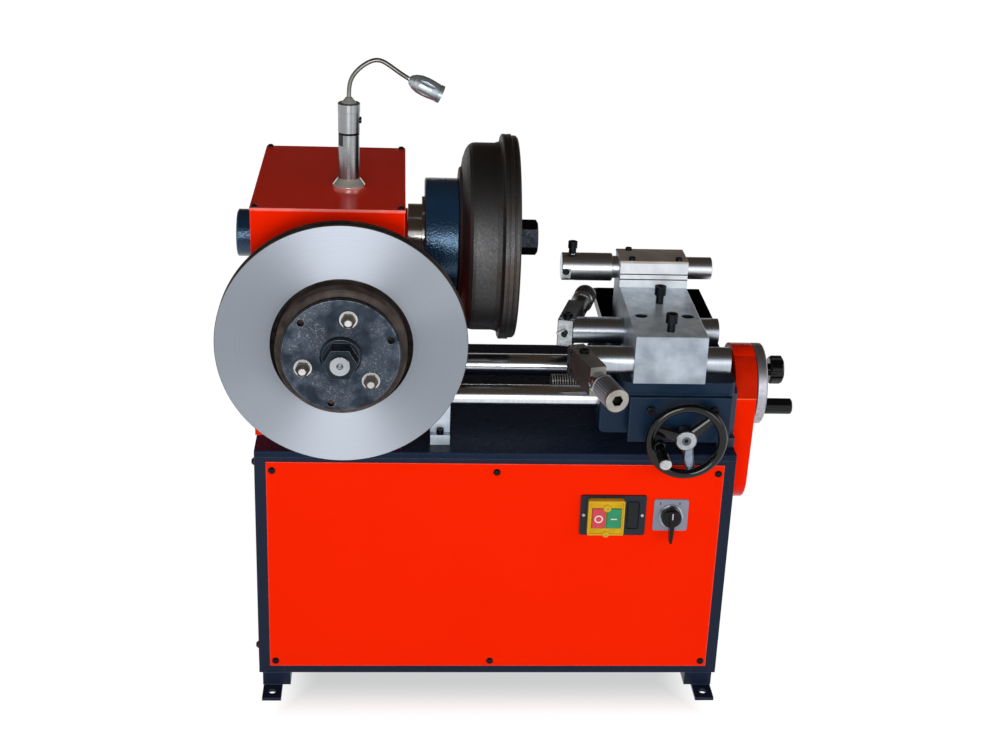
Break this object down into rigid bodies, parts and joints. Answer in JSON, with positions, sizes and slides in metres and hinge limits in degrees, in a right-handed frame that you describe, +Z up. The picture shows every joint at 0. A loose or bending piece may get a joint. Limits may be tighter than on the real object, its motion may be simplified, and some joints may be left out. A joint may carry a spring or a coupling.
{
  "type": "brake lathe",
  "caption": "Brake lathe on a steel cabinet: drum and disc spindles in a gear headstock, sliding carriage with twin cutters, boring bar, handwheels, switches and a work lamp.",
  "frame": {"origin": "on the floor, at the centre of the four foot bolt holes", "axes": "+X to the right as the operator sees the machine, along the drum spindle; +Y away from the operator, along the disc spindle; +Z up"},
  "size_m": [0.882, 0.6063, 0.9808],
  "materials": {
    "navy_paint": "semi-gloss navy enamel",
    "red_paint": "gloss orange-red enamel",
    "black_paint": "matt black paint",
    "black_steel": "black oxide",
    "bright_steel": "machined bright",
    "gear_steel": "machined and oiled",
    "zinc_steel": "zinc plated",
    "thimble_steel": "knurled and phosphated",
    "chrome": "hard chrome",
    "aluminium": "milled",
    "drum_iron": "dark oxidised cast iron",
    "disc_iron": "freshly turned",
    "grey_iron": "machined casting",
    "bronze": "plain bronze",
    "belt_rubber": "matt black",
    "dark_plastic": "moulded",
    "grey_plastic": "moulded",
    "black_plastic": "phenolic gloss",
    "red_plastic": "moulded",
    "green_plastic": "moulded"
  },
  "bodies": {
    "machine_base": {"cabinet_frame": "navy_paint", "top_plate": "navy_paint", "cabinet_panels": "red_paint", "mounting_feet": "navy_paint", "machine_screws": "black_steel", "main_motor": "navy_paint", "headstock_housing": "red_paint", "headstock_cover": "red_paint", "bearing_caps": "navy_paint", "spindle_bearings": "bright_steel", "drive_belts": "belt_rubber", "guide_bars": "chrome", "bar_supports": "aluminium", "feed_cover": "red_paint", "feed_gearmotor": "aluminium", "switch_box": "dark_plastic", "selector_plate": "grey_plastic"},
    "drum_rotor": {"drum_spindle": "bright_steel", "drum_gear": "gear_steel", "drum_adapter": "navy_paint", "brake_drum": "drum_iron", "drum_nut": "black_steel"},
    "counter_rotor": {"countershaft": "gear_steel", "counter_pulley": "grey_iron"},
    "disc_rotor": {"disc_spindle": "bright_steel", "bevel_gear": "gear_steel", "brake_disc": "disc_iron", "disc_flange": "black_steel", "flange_studs": "zinc_steel", "disc_nut": "black_steel"},
    "motor_rotor": {"motor_pulley": "grey_iron"},
    "feed_screw": {"lead_screw": "bright_steel", "feed_wheel": "aluminium"},
    "crank_grip": {"feed_crank": "black_plastic"},
    "clutch": {"clutch_knob": "black_plastic"},
    "feed_drive": {"feed_drive_pulley": "grey_iron"},
    "carriage": {"saddle": "navy_paint", "saddle_bushes": "bronze"},
    "cross_slide": {"cross_table": "navy_paint", "chip_guard": "black_paint", "tool_block": "aluminium", "bar_clamp": "aluminium", "clamp_cap": "bright_steel", "block_screws": "black_steel"},
    "hand_feed": {"cross_screw": "bright_steel", "handwheel": "black_plastic"},
    "hand_grip": {"wheel_grip": "black_plastic"},
    "boring_tool": {"boring_bar": "chrome"},
    "front_arm": {"front_tool_bar": "chrome"},
    "front_tip": {"front_cutter": "bright_steel"},
    "front_dial": {"front_thimble": "thimble_steel"},
    "rear_arm": {"rear_tool_bar": "chrome"},
    "rear_tip": {"rear_cutter": "bright_steel"},
    "rear_dial": {"rear_thimble": "thimble_steel"},
    "stop": {"stop_button": "red_plastic"},
    "start": {"start_button": "green_plastic"},
    "selector": {"selector_knob": "black_plastic"},
    "lamp": {"lamp_tube": "aluminium", "lamp_neck": "chrome"},
    "lamp_switch": {"lamp_button": "black_plastic"}
  },
  "joints": [
    {"name": "drum_spindle_spin", "type": "hinge", "parent": "machine_base", "child": "drum_rotor", "pos_m": [0, 0.005, 0.6905], "axis": [1, 0, 0], "continuous": true},
    {"name": "countershaft_spin", "type": "hinge", "parent": "machine_base", "child": "counter_rotor", "pos_m": [-0.234, 0.005, 0.608], "axis": [1, 0, 0], "continuous": true},
    {"name": "disc_spindle_spin", "type": "hinge", "parent": "machine_base", "child": "disc_rotor", "pos_m": [-0.234, 0.005, 0.608], "axis": [0, 1, 0], "continuous": true},
    {"name": "motor_spin", "type": "hinge", "parent": "machine_base", "child": "motor_rotor", "pos_m": [-0.18, 0.005, 0.164], "axis": [1, 0, 0], "continuous": true},
    {"name": "feed_screw_turn", "type": "hinge", "parent": "machine_base", "child": "feed_screw", "pos_m": [0.386, -0.092, 0.486], "axis": [1, 0, 0], "range_deg": [-450, 4500]},
    {"name": "carriage_slide", "type": "slide", "parent": "machine_base", "child": "carriage", "axis": [1, 0, 0], "range_m": [-0.05, 0.005]},
    {"name": "feed_drive_spin", "type": "hinge", "parent": "machine_base", "child": "feed_drive", "pos_m": [0.386, -0.092, 0.345], "axis": [1, 0, 0], "range_deg": [-1250, 12500]},
    {"name": "crank_grip_spin", "type": "hinge", "parent": "feed_screw", "child": "crank_grip", "pos_m": [0.443, -0.134, 0.465], "axis": [1, 0, 0], "continuous": true},
    {"name": "clutch_knob_turn", "type": "hinge", "parent": "feed_screw", "child": "clutch", "pos_m": [0.452, -0.06, 0.496], "axis": [1, 0, 0], "range_deg": [0, 360]},
    {"name": "cross_slide_move", "type": "slide", "parent": "carriage", "child": "cross_slide", "axis": [0, 1, 0], "range_m": [-0.112, 0]},
    {"name": "handwheel_turn", "type": "hinge", "parent": "cross_slide", "child": "hand_feed", "pos_m": [0.281, -0.253, 0.459], "axis": [0, 1, 0], "range_deg": [-10080, 0]},
    {"name": "wheel_grip_spin", "type": "hinge", "parent": "hand_feed", "child": "hand_grip", "pos_m": [0.2409, -0.29, 0.45048], "axis": [0, 1, 0], "continuous": true},
    {"name": "boring_bar_slide", "type": "slide", "parent": "cross_slide", "child": "boring_tool", "axis": [1, 0, 0], "range_m": [-0.04, 0.009]},
    {"name": "front_bar_slide", "type": "slide", "parent": "cross_slide", "child": "front_arm", "axis": [1, 0, 0], "range_m": [-0.06, 0.01]},
    {"name": "rear_bar_slide", "type": "slide", "parent": "cross_slide", "child": "rear_arm", "axis": [1, 0, 0], "range_m": [0, 0.006]},
    {"name": "front_micrometer_turn", "type": "hinge", "parent": "front_arm", "child": "front_dial", "pos_m": [0.1135, -0.184, 0.564], "axis": [0.2756, -0.9613, 0], "range_deg": [0, 5400]},
    {"name": "front_cutter_slide", "type": "slide", "parent": "front_arm", "child": "front_tip", "axis": [-0.2756, 0.9613, 0], "range_m": [0, 0.03]},
    {"name": "rear_micrometer_turn", "type": "hinge", "parent": "rear_arm", "child": "rear_dial", "pos_m": [0.1073, -0.0862, 0.564], "axis": [0.2756, 0.9613, 0], "range_deg": [0, 5400]},
    {"name": "rear_cutter_slide", "type": "slide", "parent": "rear_arm", "child": "rear_tip", "axis": [-0.2756, -0.9613, 0], "range_m": [0, 0.03]},
    {"name": "stop_button_press", "type": "slide", "parent": "machine_base", "child": "stop", "axis": [0, 1, 0], "range_m": [0, 0.003], "stiffness_N_per_m": 900, "springref_m": -0.002},
    {"name": "start_button_press", "type": "slide", "parent": "machine_base", "child": "start", "axis": [0, 1, 0], "range_m": [0, 0.003], "stiffness_N_per_m": 900, "springref_m": -0.002},
    {"name": "selector_turn", "type": "hinge", "parent": "machine_base", "child": "selector", "pos_m": [0.272, -0.235, 0.3185], "axis": [0, 1, 0], "range_deg": [-60, 60]},
    {"name": "lamp_swivel", "type": "hinge", "parent": "machine_base", "child": "lamp", "pos_m": [-0.23, -0.046, 0.85], "axis": [0, 0, 1], "continuous": true},
    {"name": "lamp_button_press", "type": "slide", "parent": "lamp", "child": "lamp_switch", "axis": [-1, 0, 0], "range_m": [0, 0.0015], "stiffness_N_per_m": 600, "springref_m": -0.001}
  ],
  "couplings": [
    {"joint": "countershaft_spin", "follows": "drum_spindle_spin", "ratio": -2},
    {"joint": "disc_spindle_spin", "follows": "drum_spindle_spin", "ratio": 2},
    {"joint": "motor_spin", "follows": "drum_spindle_spin", "ratio": -3.6923},
    {"joint": "feed_screw_turn", "follows": "carriage_slide", "rad_per_m": -1570.8},
    {"joint": "feed_drive_spin", "follows": "carriage_slide", "rad_per_m": -4342.8},
    {"joint": "handwheel_turn", "follows": "cross_slide_move", "rad_per_m": 1570.8},
    {"joint": "front_micrometer_turn", "follows": "front_cutter_slide", "rad_per_m": 3141.6},
    {"joint": "rear_micrometer_turn", "follows": "rear_cutter_slide", "rad_per_m": 3141.6}
  ]
}
